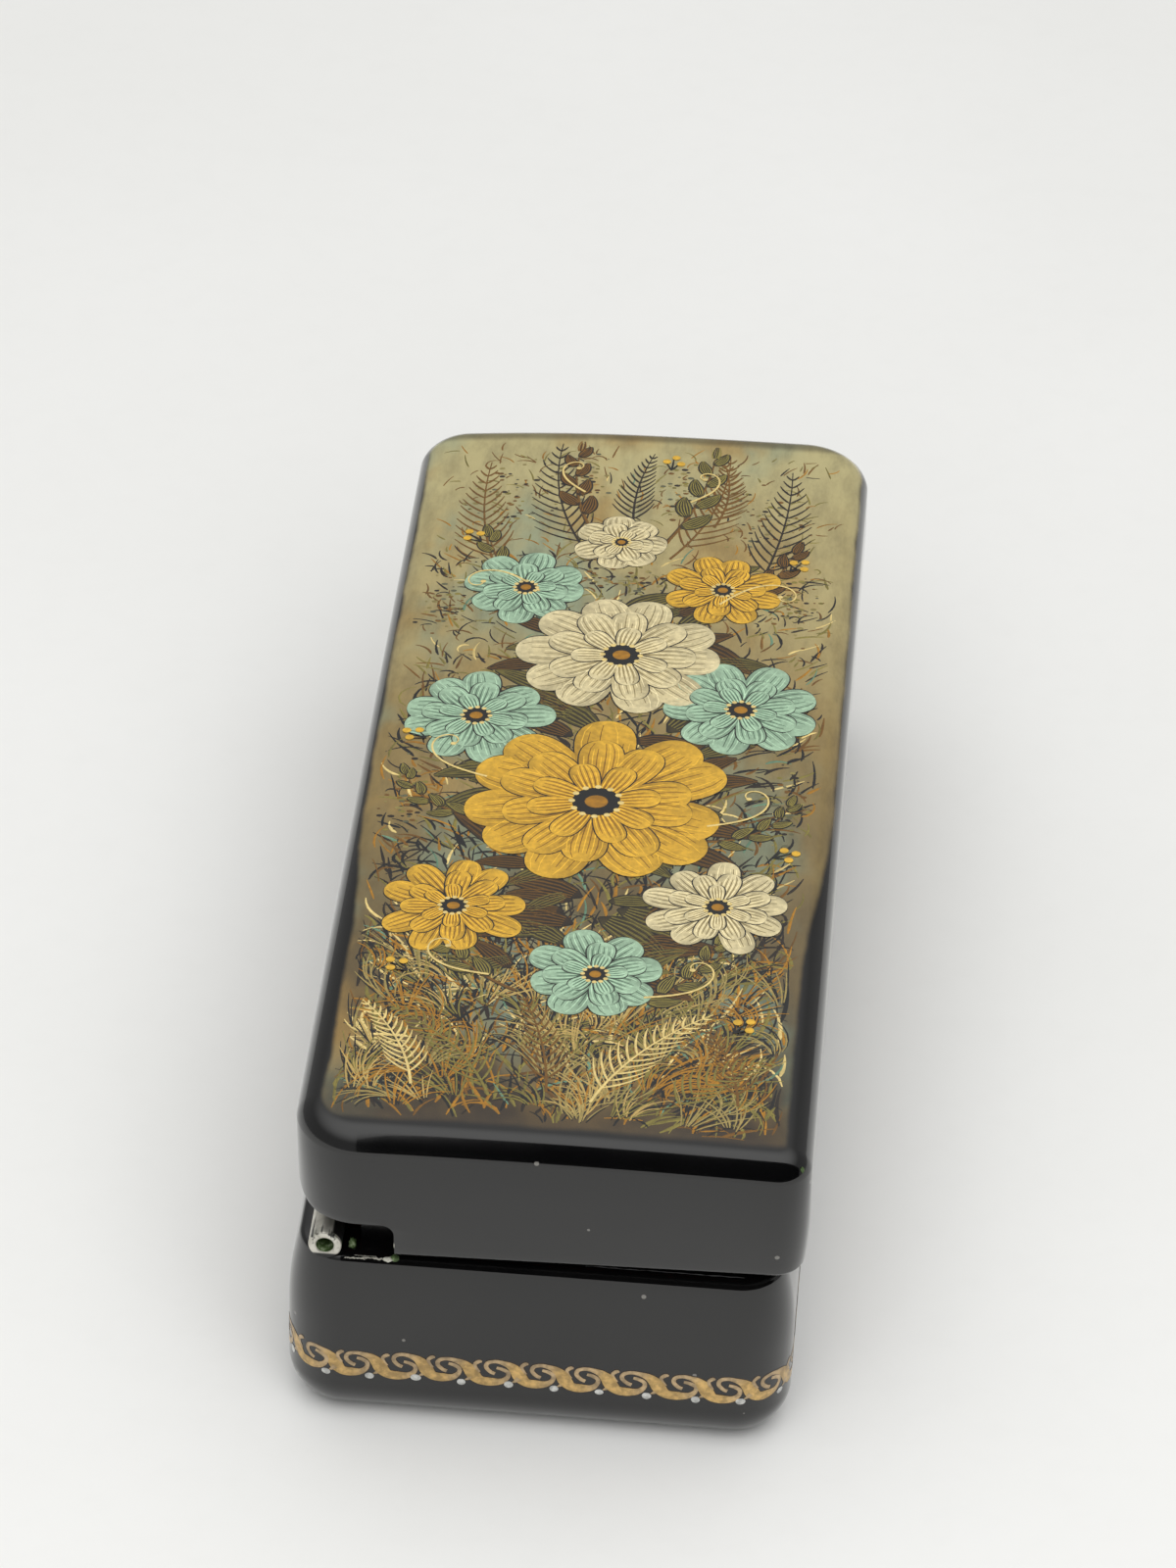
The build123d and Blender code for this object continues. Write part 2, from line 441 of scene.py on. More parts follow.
def black_lacquer():
    """Black with a faint smoke, wiped smears and dust."""
    shader = Shader("black_lacquer")
    tone = shader.ramp(shader.noise(90, 4), [(0.35, BLACK), (0.75, SMOKE)])
    shader.set(Base_Color=shader.blend(specks(shader) * SPECK_SHOWN, tone, DUST))
    shader.set(Roughness=shader.span(shader.noise(60, 5, 0.6), 0.3, 0.75, 0.06, 0.13))
    hand_rubbed(shader)
    return shader.owner


def red_tone(shader):
    return shader.ramp(shader.noise(70, 4), [(0.3, DEEP_RED), (0.7, RED)])


def red_lacquer():
    """Inside of the base and the lid."""
    shader = Shader("red_lacquer")
    shader.set(Base_Color=red_tone(shader))
    shader.rough(shader.noise(120, 4), 0.14, 0.26)
    hand_rubbed(shader)
    return shader.owner


def lip_lacquer():
    """Red low inside the collar, and black round its mouth and where it stands in the lid."""
    shader = Shader("lip_lacquer")
    across, along, height = shader.axes()
    inner_face = BASE_WALL + LIP_THICK - LIP_SKIN
    beyond_x = abs(across) - (BASE_WIDTH / 2 - inner_face)
    beyond_y = abs(along) - (BASE_LENGTH / 2 - inner_face)
    outside = np.maximum(beyond_x, beyond_y) > 0
    mouth = height > BASE_RIM - COLLAR_BLACK
    shader.set(Base_Color=shader.blend(np.maximum(outside, mouth), red_tone(shader), BLACK))
    shader.rough(shader.noise(120, 4), 0.12, 0.24)
    hand_rubbed(shader)
    return shader.owner


def raw_edge():
    """Cut papier-mache under thin worn lacquer."""
    shader = Shader("raw_edge")
    worn = shader.span(shader.noise(900, 4, 0.65), 0.56, 0.72)
    shader.set(Base_Color=shader.blend(worn, SOOT, PAPER), Roughness=0.4)
    shader.bump(shader.noise(1500, 3), 0.4, CRUST_DEPTH)
    return shader.owner


# Painted field of the lid: fade at its edge, how that moves in near the front and out at the right,
# how far it wanders, the field's ends and sides, and how softly those set in
FIELD_FADE = (0.9, 1.5)
FIELD_TAPER = (-34.0, -4.0)
FIELD_NARROWED = 1.2
FIELD_WIDENED = 0.5
FIELD_WANDER = 0.7
FIELD_NEAR = -54.9
FIELD_SIDE = 20.9
FIELD_FAR = 54.8
NEAR_FADE = 0.5
FAR_FADE = (-0.2, 0.9)
FAR_REMAINS = 0.45
RIGHT_FADE = 5.0

# Its ground from the near end to the far one, the length that takes, and how far cloud shifts it
GROUND = [
    (0.00, (0.034, 0.022, 0.012)),
    (0.12, (0.090, 0.060, 0.026)),
    (0.30, (0.165, 0.120, 0.050)),
    (0.52, (0.270, 0.192, 0.070)),
    (0.75, (0.420, 0.345, 0.155)),
    (1.00, (0.480, 0.420, 0.205)),
]
GROUND_ENDS = (-56.0, 56.0)
GROUND_CLOUD = 0.42

# Washes over it: noise, the part of it that shows, strength and colour; and where they set in
WASHES = [
    ((62, 4, 0.55, (1.0, 0.55, 1.0)), (0.47, 0.62), 0.6, (0.200, 0.290, 0.215)),
    ((48, 4, 0.6, (1.3, 0.8, 1.0)), (0.49, 0.64), 0.7, (0.380, 0.235, 0.062)),
]
WASHED = (-56.0, -40.0)
BRUSHED = (0.035, 0.026, 0.014)


def field_colour(shader, along):
    """Washes of paint, pale at the far end and dark at the near one."""
    share = shader.span(along, *GROUND_ENDS, 0.0, 1.0, "LINEAR")
    field = shader.ramp(share + (shader.noise(85, 5, 0.6) - 0.5) * GROUND_CLOUD, GROUND)
    rising = shader.span(along, *WASHED, 0.15, 1.0)
    for noise, part, strength, colour in WASHES:
        wash = shader.span(shader.noise(*noise), *part, 0.0, strength)
        field = shader.blend(wash * rising, field, colour)
    brush = shader.noise(420, 4, 0.7, (1.0, 0.35, 1.0))
    return shader.blend(shader.span(brush, 0.35, 0.75, 0.0, 0.32), field, BRUSHED)


def field_shown(shader, across, along):
    """1 on the painted field and 0 on the black round it, with a wandering edge."""
    wander = (shader.noise(160, 3) - 0.5) * FIELD_WANDER
    narrowed = shader.span(along, *FIELD_TAPER, FIELD_NARROWED, 0.0)
    on_right = shader.span(across, -RIGHT_FADE, RIGHT_FADE)
    widened = shader.span(along, *FIELD_TAPER, 0.0, FIELD_WIDENED) * on_right
    middle = (LID_ORIGIN + LID_MIDDLE * ACROSS + LID_EDGE * UPRIGHT)[0]
    inset = lid_inset(across - middle, along) + wander - narrowed + widened
    near = shader.span(along + wander, FIELD_NEAR - NEAR_FADE, FIELD_NEAR + NEAR_FADE)
    far = shader.span(along + wander - FIELD_FAR, *FAR_FADE, 1.0, FAR_REMAINS)
    return shader.span(inset, *FIELD_FADE) * (near * far)


def painted_ground():
    """The lid's painted field on black lacquer."""
    shader = Shader("painted_ground")
    across, along, _ = shader.axes()
    shown = field_shown(shader, across, along)
    shader.set(Base_Color=shader.blend(shown, BLACK, field_colour(shader, along)))
    shader.rough(shader.noise(110, 4), 0.08, 0.16)
    hand_rubbed(shader, 0.5)
    return shader.owner


def painted_end_shade(shader):
    """1 where painted shade darkens the ends of the hinge: below the hinge line, and on the side toward the
    box.
    """
    across, along, height = shader.axes()
    at_end = abs(along) > BASE_LENGTH / 2 - END_SHADE_REACH
    behind = abs(along) < BASE_LENGTH / 2 - TUBE_SET_IN - SHADE_BEHIND
    below = shader.span(height - AXIS_Z, *SHADE_BELOW, 1.0, 0.0)
    inner = shader.span(across - AXIS_X, *SHADE_INNER)
    return np.maximum(below, inner * behind) * at_end


def worn_and_shaded_metal():
    """White plating on the hinge tubes, with dark lacquer left in streaks along them, and painted shade at
    their ends.
    """
    shader = Shader("worn_and_shaded_metal")
    streak = shader.noise(1400, 4, 0.6, (1.0, 0.05, 1.0))
    dark = shader.span(streak + shader.noise(260, 4, 0.6) * 0.5, 0.82, 0.95)
    # also dark where painted shade falls at the tubes' ends, below them and toward the box
    dark = np.maximum(dark, painted_end_shade(shader))
    green = shader.span(shader.noise(520, 4, 0.6), 0.60, 0.74)
    colour = shader.blend(green * 0.6, shader.ramp(shader.noise(700, 3), PLATING), PATINA)
    shader.set(Base_Color=shader.blend(dark, colour, SOOT))
    shader.set(Metallic=shader.span(dark, 0.0, 1.0, 0.75, 0.0, "LINEAR"))
    shader.rough(shader.noise(1100, 4), 0.30, 0.55)
    shader.bump(streak, 0.3, 0.04)
    return shader.owner


def crusted(name, noise, stops, rough, strength):
    """Crumbly surface, whose colour, roughness and relief follow one noise."""
    shader = Shader(name)
    crust = shader.noise(*noise)
    shader.set(Base_Color=shader.ramp(crust, stops))
    shader.rough(crust, *rough)
    shader.bump(crust, strength, CRUST_DEPTH)
    return shader


def verdigris():
    """Green crust of old brass, pale in places."""
    return crusted("verdigris", (1900, 4, 0.65), GREEN_CRUST, (0.6, 0.9), 0.7).owner


def chalk_and_highlight():
    """Bared ground under the lacquer, whitish and a little stained; it also makes a painted highlight on
    the notch's edge.
    """
    return crusted("chalk_and_highlight", (1700, 4, 0.6), BARE_CHALK, (0.55, 0.85), 0.6).owner


def tarnished_wire():
    """Dark brass of the pin."""
    shader = crusted("tarnished_wire", (1300, 4, 0.65), DARK_BRASS, (0.45, 0.8), 0.6)
    shader.set(Metallic=0.4)
    return shader.owner


LACQUER = black_lacquer()
PAINTED = painted_ground()
INSIDE = red_lacquer()
EDGE = raw_edge()
METAL = worn_and_shaded_metal()
VERDIGRIS = verdigris()
CHALK_AND_HIGHLIGHT = chalk_and_highlight()
SKINS = [LACQUER, PAINTED, INSIDE, EDGE]
LACQUER_AT, PAINTED_AT, INSIDE_AT, EDGE_AT = range(4)


# Base: one skin for the dish and the wall, with the barrel's bed cut into its rim

def flat_ring(points, normals, inset, height):
    ring = points - inset * normals
    return np.column_stack([ring, np.full(len(ring), height)])


def ring_faces(count, rings, index_of_ring):
    """Material index of each face of a skin, by the ring below it."""
    return [index_of_ring(ring) for ring in range(rings - 1) for _ in range(count)]


def cut_shell(name, rings, indices, cutting, edge):
    """Skin through rings, with a body cut from it and the cut's edges rounded."""
    shell = add_piece(name, *skin(rings), SKINS, indices)
    combine(shell, cutting)
    soften_cut(shell, edge)
    smooth(shell)
    return shell


def base_outline():
    return outline(BASE_WIDTH - 2 * SKIN, BASE_LENGTH - 2 * SKIN, BASE_CORNERS - SKIN)


def base_shell():
    points, normals = base_outline()
    foot, _ = tangent_arc((FOOT_ROUND, 0), (-1, 0), (0, FOOT_ROUND), FOOT_STEPS)
    wall = wall_profile(BASE_RIM, BASE_LEAN, BASE_LEAN_RUN)
    outer = [(FOOT_ROUND, 0), *foot, (0, BASE_SEAT + WALL_RING), *wall]
    lip = BASE_WALL + LIP_THICK
    inner = [(BASE_WALL, BASE_RIM), (BASE_WALL, BASE_SEAT), (lip, BASE_SEAT), (lip, FLOOR_THICK)]
    rings = [flat_ring(points, normals, inset, height) for inset, height in outer + inner]
    indices = ring_faces(len(points), len(rings), lambda r: LACQUER_AT if r < len(outer) else INSIDE_AT)
    return cut_shell("base_shell", rings, indices + [LACQUER_AT, INSIDE_AT], barrel_bed(), BED_EDGE)


def circle(radius, steps):
    """Pairs of x and z round the hinge line."""
    return radius * spokes(np.linspace(0, tau, steps, endpoint=False)) + (AXIS_X, AXIS_Z)


def ring_at(y, section):
    """Ring of points across the box, from pairs of x and z."""
    return np.column_stack([section[:, 0], np.full(len(section), y), section[:, 1]])


def cutter(name, rings):
    """Body to cut with, which leaves raw edges."""
    return add_piece(name, *skin(rings), SKINS, EDGE_AT)


def rod(name, radius, start, end):
    """Round rod along the hinge line."""
    return cutter(name, [ring_at(y, circle(radius, ROD_STEPS)) for y in (end, start)])


def knuckle_span(name):
    low, high = node_box(name)
    return low[1], high[1]


def barrel_bed():
    """Rod that beds the barrel in the rim, wider where a knuckle of the lid turns."""
    bed = rod("bed", BARREL_RADIUS + CRADLE_FIT, -BASE_LENGTH, BASE_LENGTH)
    for name in ("lid_knuckle_front", "lid_knuckle_rear"):
        start, end = knuckle_span(name)
        combine(bed, rod("room", BARREL_RADIUS + SWING_FIT, start - SWING_ENDS, end + SWING_ENDS), "UNION")
    return bed


# Lid: one skin for the wall and the crowned top, cut short over the hinge

def eased(share):
    share = np.clip(share, 0, 1)
    return share**2 * (3 - 2 * share)


def lid_height(x, y):
    """Height of the lid's outer face over its rim: a crown, a little twisted, rolled over to the walls."""
    across, along = 2 * x / LID_WIDTH, 2 * y / LID_LENGTH
    crown = CROWN * (1 - across**2) - END_DROP * along**2
    crown = crown - TWIST * across * eased(-along)
    crown = crown - FAR_DROP * np.clip(-across, 0, 1) ** 2 * eased(along)
    short = np.clip(LID_EDGE_ROUND - lid_inset(x, y), 0, LID_EDGE_ROUND)
    rolled = LID_EDGE_ROUND - np.sqrt(LID_EDGE_ROUND**2 - short**2)
    return LID_EDGE + crown - rolled


def lid_face(x, y, lift=0.0):
    """Points on the lid's outer face, or lifted from it."""
    return lid_place(x, y, lid_height(x, y) + lift)


def lid_shell():
    points, normals = outline(LID_WIDTH - 2 * SKIN, LID_LENGTH - 2 * SKIN, LID_CORNERS - SKIN)
    inner_width, inner_length = LID_WIDTH - LID_WALL - LID_HINGE_WALL, LID_LENGTH - 2 * LID_WALL
    shift = (LID_HINGE_WALL - LID_WALL) / 2
    inner, _ = outline(inner_width, inner_length, LID_CORNERS - LID_WALL, shift)
    rings = [lid_place(*inner.T, height) for height in (LID_CEILING, LID_RED, 0)]
    inside = len(rings)
    for inset, down in reversed(wall_profile(0, LID_LEAN, LID_LEAN_RUN)):
        rings.append(lid_place(*(points - inset * normals).T, -down))
    below_round = len(rings)
    for turn in np.linspace(0, pi / 2, ROLL_STEPS):
        rings.append(lid_face(*(points - LID_EDGE_ROUND * (1 - cos(turn)) * normals).T))
    flat = points - LID_EDGE_ROUND * normals
    for share in np.linspace(1, TOP_CENTRE, TOP_STEPS)[1:]:
        rings.append(lid_face(*(flat * share).T))

    def index_of(ring):
        if ring < inside - 2:
            return INSIDE_AT
        return PAINTED_AT if ring > below_round + 2 else LACQUER_AT

    indices = ring_faces(len(points), len(rings), index_of) + [INSIDE_AT, PAINTED_AT]
    return cut_shell("lid_shell", rings, indices, hinge_cut(), NOTCH_EDGE)


def hinge_cut():
    """Prism that clears the barrel along the hinge side and leaves a notch at each end."""
    back = -LID_WIDTH / 2
    far = back - CUT_BEHIND
    reach = NOTCH_REACH - LID_MIDDLE
    below_corner = (reach, NOTCH_RISE - NOTCH_ROUND)
    corner, _ = tangent_arc(below_corner, (0, 1), (reach - NOTCH_ROUND, NOTCH_RISE), NOTCH_STEPS)
    before_edge = (back + BACK_ROUND, NOTCH_RISE)
    edge, _ = tangent_arc(before_edge, (-1, 0), (back, NOTCH_RISE + BACK_ROUND), BACK_STEPS)
    section = np.array([
        (far, CUT_LOW), (reach, CUT_LOW), below_corner, *corner,
        before_edge, *edge, (far, NOTCH_RISE + BACK_ROUND),
    ])
    rings = [lid_place(section[:, 0], y, section[:, 1]) for y in (LID_LENGTH, -LID_LENGTH)]
    return cutter("hinge_cut", rings)


# Hinge tubes, each with its leaf

def knuckle(name):
    """Tube with eased ends on the place of the CAD knuckle, with the leaf that holds it."""
    start, end = knuckle_span(name)
    rim = (BARREL_RADIUS, TUBE_EDGE)
    ease, _ = tangent_arc(rim, (0, -1), (BARREL_RADIUS - TUBE_EDGE, 0), EASE_STEPS)
    half = [rim, *ease, (BORE_RADIUS + TUBE_EDGE / 2, 0), (BORE_RADIUS, TUBE_EDGE / 2)]
    profile = [(r, start + y) for r, y in half] + [(r, end - y) for r, y in reversed(half)]
    rings = [ring_at(y, circle(r, TUBE_STEPS)) for r, y in profile]
    bore = len(half) - 1
    indices = ring_faces(TUBE_STEPS, len(rings) + 1, lambda ring: 1 if ring == bore else 0)
    tube = add_piece(name + "_tube", *skin(rings, looped=True), [METAL, VERDIGRIS], indices)
    combine(tube, leaf(name, start + LEAF_INSET, end - LEAF_INSET), "UNION")
    smooth(tube, 40)
    return tube


def leaf(name, start, end):
    """Strip that runs from a knuckle down into the base, or up into the lid."""
    low, high = node_box(name)
    on_lid = name.startswith("lid")
    turn = tilt if on_lid else 0.0
    reach = (high[2] - AXIS_Z - LEAF_SHY) if on_lid else (low[2] - AXIS_Z + LEAF_SHY)
    root = LEAF_ROOT if on_lid else -LEAF_ROOT
    half = LEAF_THICK / 2
    corners = [(-half, root), (half, root), (half, reach), (-half, reach)]
    section = [rotated(corner, turn) for corner in corners]
    section = np.array(section if on_lid else section[::-1]) + (AXIS_X, AXIS_Z)
    return add_piece("leaf", *skin([ring_at(y, section) for y in (end, start)]), [METAL])


# Brush strokes: closed ribbons of paint, a little proud of the surface under them

STROKE_ROOT = 0.03
SPLINE_STEPS = 4
CREST = 0.0015
LAYER = 0.004
PAINT_FULL = 1.08
PAINT_UNEVEN = 0.12
CELL_MARGIN = 0.06


def spline(points):
    """Smooth line through points, with all their columns carried along."""
    points = np.asarray(points, float)
    before = 2 * points[:1] - points[1:2]
    after = 2 * points[-1:] - points[-2:-1]
    padded = np.concatenate([before, points, after])
    share = np.linspace(0, 1, SPLINE_STEPS, endpoint=False)[:, None]
    spans = []
    for a, b, c, d in zip(padded, padded[1:], padded[2:], padded[3:]):
        square = 2 * a - 5 * b + 4 * c - d
        cube = 3 * b - a - 3 * c + d
        spans.append(b + 0.5 * ((c - a) * share + square * share**2 + cube * share**3))
    return np.concatenate(spans + [points[-1:]])


def unrolled(count):
    """Texture places of a stroke's faces in a square: along it one way, and round it the other."""
    share = np.linspace(0, 1, count)
    near, far = np.repeat(share[:-1], 4), np.repeat(share[1:], 4)
    low = np.tile(np.arange(4) / 4, count - 1)
    corners = [(near, low), (near, low + 0.25), (far, low + 0.25), (far, low)]
    sides = np.stack([np.stack(c, axis=-1) for c in corners], axis=1)
    return np.concatenate([sides, np.full((2, 4, 2), 0.5)])


def leftward(line):
    """Unit vectors to the left of a line, at its points."""
    way = np.gradient(line, axis=0)
    way = way / np.maximum(np.linalg.norm(way, axis=1, keepdims=True), 1e-9)
    return np.stack([-way[:, 1], way[:, 0]], axis=1)


class Strokes:
    """Brush strokes on one surface, gathered into a single mesh with a colour at each point."""

    def __init__(self, place, fits=None, step=LAYER):
        self.place = place
        self.fits = fits
        self.step = step
        self.blocks = []
        self.tints = []

    def add(self, line, half, tints, layer):
        """Adds a stroke along a line; tints are those of its left edge, crest and right edge, or one."""
        line = np.asarray(line, float)
        if self.fits and not self.fits(line):
            return
        across = np.broadcast_to(half, len(line))[:, None] * leftward(line)
        lift = self.step * (layer + RNG.uniform(0.1, 0.5))
        ring = [(line + across, lift), (line, lift + CREST), (line - across, lift), (line, -STROKE_ROOT)]
        self.blocks.append(np.stack([self.place(p[:, 0], p[:, 1], h) for p, h in ring], axis=1))
        tints = tints if isinstance(tints, tuple) else (tints, tints, tints)
        left, middle, right = (np.broadcast_to(t, (len(line), 3)) for t in tints)
        self.tints.append(np.stack([left, middle, right, middle], axis=1))

    def piece(self, name, material):
        """One object of all the strokes, each unrolled into its own cell of the texture map."""
        cells = int(np.ceil(np.sqrt(len(self.blocks))))
        faces, spots = [], []
        first = 0
        for index, block in enumerate(self.blocks):
            count = len(block)
            ids = first + np.arange(count * 4).reshape(count, 4)
            turned = np.roll(ids, -1, axis=1)
            faces.append(np.stack([ids[:-1], turned[:-1], turned[1:], ids[1:]], axis=-1).reshape(-1, 4))
            faces.append(np.stack([ids[0][::-1], ids[-1]]))
            corner = np.array([index % cells, index // cells]) + CELL_MARGIN
            spots.append((corner + (1 - 2 * CELL_MARGIN) * unrolled(count)) / cells)
            first += count * 4
        points = np.concatenate(self.blocks).reshape(-1, 3)
        tints = np.concatenate(self.tints).reshape(-1, 3)
        made = add_piece(name, points, np.concatenate(faces).tolist(), [material])
        layer = made.data.attributes.new("tint", "FLOAT_COLOR", "POINT")
        layer.data.foreach_set("color", np.column_stack([tints, np.ones(len(tints))]).ravel())
        made.data.uv_layers.new(name="OFBake").data.foreach_set("uv", np.concatenate(spots).ravel())
        smooth(made, 40)
        return made


def paint(name, metal=0.0, rough=0.3, thin=0.78):
    """Paint that takes its colour from the strokes, with a grain where it is thin."""
    shader = Shader(name)
    tint = shader.add("Attribute", output="Color", attribute_name="tint")
    grain = shader.span(shader.noise(1600, 3, 0.6), *NOISE_RANGE, thin, PAINT_FULL)
    shader.set(Base_Color=shader.blend(1.0, tint, grain, "MULTIPLY"), Metallic=metal)
    shader.rough(shader.noise(700, 3), rough, rough + PAINT_UNEVEN)
    gloss(shader)
    return shader.owner


# Border round the foot: a running scroll in gold, each scroll with a hook and a silver dot

SCROLL_PITCH = 3.91
SCROLL_SPACING = 4.17
SCROLL_START = -16.06
SCROLL_HEIGHT = 7.55

# Lines of the brush: along, up, half width
SCROLL = [
    (-0.13, -0.50, 0.20), (-0.48, -0.33, 0.20), (-0.85, 0.11, 0.20), (-0.87, 0.52, 0.20),
    (-0.63, 0.82, 0.20), (-0.05, 0.96, 0.20), (0.58, 0.82, 0.26), (1.21, 0.52, 0.42),
    (1.74, -0.08, 0.62), (2.06, -0.73, 0.64), (2.59, -1.29, 0.50), (3.43, -1.40, 0.48),
    (4.28, -1.27, 0.33), (4.80, -0.76, 0.22), (4.86, -0.20, 0.20), (4.43, 0.16, 0.20),
    (3.91, 0.31, 0.16),
]
HOOK = [(2.55, -0.30, 0.10), (2.22, 0.20, 0.15), (2.16, 0.60, 0.17), (2.48, 0.92, 0.20), (2.72, 0.90, 0.10)]
SPUR = [(1.95, -0.90, 0.30), (1.62, -1.24, 0.16), (1.36, -1.40, 0.05)]
DOT = (1.06, -1.67)
DOT_SIZE = (0.45, 0.35)
DOT_POINTS = 9
BORDER_LAYER = 0.013
ARM_HALF = 0.2
BODY_MORE = 0.3
GOLD_OUTLINE = 0.07
UNEVEN_PITCH = 0.05
UNEVEN_HEIGHT = 0.07
UNEVEN_SHINE = (0.85, 1.08)
UNEVEN_DOT = (0.85, 1.15)
GOLD_BODY = np.array([0.64, 0.41, 0.135])
GOLD_ARM = np.array([0.52, 0.37, 0.20])
GOLD_EDGE = np.array([0.035, 0.018, 0.008])
SILVER = np.array([0.66, 0.66, 0.63])


def wall_walk():
    """Length round the base's wall, and the point and normal at a length along it."""
    points, normals = base_outline()
    closed = np.concatenate([points, points[:1]])
    walked = np.concatenate([[0], np.cumsum(np.hypot(*np.diff(closed, axis=0).T))])
    rows = np.column_stack([closed, np.concatenate([normals, normals[:1]])])
    front = np.argmin(np.hypot(points[:, 0] - SCROLL_START, points[:, 1] - points[:, 1].min()))
    start = walked[front] + SCROLL_START - points[front, 0]

    def place(along, height, lift):
        x, y, nx, ny = (np.interp((start + along) % walked[-1], walked, column) for column in rows.T)
        return np.stack([x + nx * lift, y + ny * lift, SCROLL_HEIGHT + height], axis=-1)

    return walked[-1], place


def gold_stroke(strokes, shape, origin, stretch, shine, layer):
    line = spline(shape)
    points = line[:, :2] * (stretch, 1) + origin
    wide = np.clip((line[:, 2:] - ARM_HALF) / BODY_MORE, 0, 1)
    tint = shine * (GOLD_ARM + wide * (GOLD_BODY - GOLD_ARM))
    strokes.add(points, line[:, 2] + GOLD_OUTLINE, GOLD_EDGE, 0)
    strokes.add(points, line[:, 2], (0.80 * tint, tint, 0.88 * tint), layer)


def dot(strokes, centre, size, tint, layer):
    """Oval blob of paint."""
    turn = np.linspace(0.02, pi - 0.02, DOT_POINTS)
    line = np.stack([centre[0] - size[0] * np.cos(turn), np.full(DOT_POINTS, centre[1])], axis=1)
    strokes.add(line, size[1] * np.sin(turn) + 0.01, (0.8 * tint, tint, 0.85 * tint), layer)


def border():
    length, place = wall_walk()
    strokes = Strokes(place, step=BORDER_LAYER)
    count = round(length / SCROLL_SPACING)
    pitch = length / count
    starts = pitch * (np.arange(count) + RNG.uniform(-UNEVEN_PITCH, UNEVEN_PITCH, count))
    ends = np.append(starts[1:], starts[0] + length)
    for index, (start, end) in enumerate(zip(starts, ends)):
        stretch = (end - start) / SCROLL_PITCH
        origin = (start, RNG.normal(0, UNEVEN_HEIGHT))
        for shape in (SPUR, SCROLL, HOOK):
            shine = RNG.uniform(*UNEVEN_SHINE)
            gold_stroke(strokes, shape, origin, stretch, shine, 1 + 0.5 * (index % 2))
        size = np.array(DOT_SIZE) * RNG.uniform(*UNEVEN_DOT, 2)
        dot(strokes, (start + DOT[0] * stretch, origin[1] + DOT[1]), size, SILVER, 2)
    return strokes.piece("scroll_border", paint("gold_paint", 0.25, 0.35, 0.58))


# Design of the lid: a bouquet of folk flowers over a bed of grass and ferns

VEIL = 0.042
RIBS = 9
LOBE_OUTLINE = 0.13
LOBE_POINTS = 15
FERN_POINTS = 16
SPRAY_POINTS = 18
TENDRIL_POINTS = 30
BLADE = np.array([0.30, 0.95, 0.85, 0.68, 0.45, 0.10])


def hue(red, green, blue):
    """Paint that shows as the given screen colour under the lacquer's sheen."""
    return np.maximum((np.array([red, green, blue]) / 255) ** 2.2 - VEIL, 0.004)


# Pairs of a deep tone and a light one
CREAMS = (hue(186, 166, 116), hue(232, 218, 174))
OCHRES = (hue(176, 128, 48), hue(232, 184, 78))
TURQUOISES = (hue(116, 148, 124), hue(178, 208, 178))
OLIVES = (hue(70, 66, 44), hue(138, 128, 78))
BROWNS = (hue(62, 50, 38), hue(126, 96, 62))
OCHRE_DEEP, OCHRE = OCHRES
OLIVE_DEEP, OLIVE = OLIVES
BROWN_DEEP, BROWN = BROWNS
LINE_GOLD = hue(236, 210, 140)

# Layers from the ground up; each flower has its own
DAB_LAYER = 1
BACKING_LAYER = 2
FERN_LAYER = 4
SPRAY_LAYER = 5
FINE_LAYER = 16

# Grass: strokes, near and far line, odds of the tints, and ranges of length and half width
GRASS_TINTS = [OLIVE_DEEP, BROWN_DEEP, OLIVE, OCHRE_DEEP, BROWN, LINE_GOLD, TURQUOISES[0]]
GRASS = [
    (1250, -54.5, -30, [0.18, 0.20, 0.20, 0.25, 0.14, 0.00, 0.03], (2.0, 6), (0.06, 0.20)),
    (140, -47, -30, [0, 0, 0, 0, 0, 1, 0], (2.0, 6), (0.06, 0.20)),
    (1400, -32, 8, [0.24, 0.30, 0.12, 0.12, 0.12, 0.07, 0.03], (1.5, 4.5), (0.06, 0.17)),
    (700, 8, 34, [0.24, 0.18, 0.24, 0.10, 0.18, 0.03, 0.03], (1.0, 3.2), (0.05, 0.13)),
    (200, 34, 53, [0.04, 0.02, 0.42, 0.20, 0.30, 0.01, 0.01], (0.8, 2.4), (0.04, 0.08)),
]
GRASS_SIDE = 20.6

# Clouds of dabs: middle and spread
DAB_TINTS = [OLIVE, BROWN, hue(112, 112, 92), hue(150, 138, 92), OLIVE_DEEP]
DABS = 70
CLOUDS = [
    (-13, 44, 4.5, 6), (-6, 47, 3.5, 4.5), (5, 46, 4, 5), (13, 42, 4.5, 6.5), (17, 27, 2.5, 5),
    (-17, 25, 2.5, 5), (18, -6, 2, 6), (-18, -8, 2, 6), (0, 30, 7, 3),
]

TUFTS = 110
TUFT_BLADES = 7
TUFT_TINTS = [OLIVE, OCHRE_DEEP, hue(196, 168, 106), hue(168, 150, 98)]
BACKING = 90

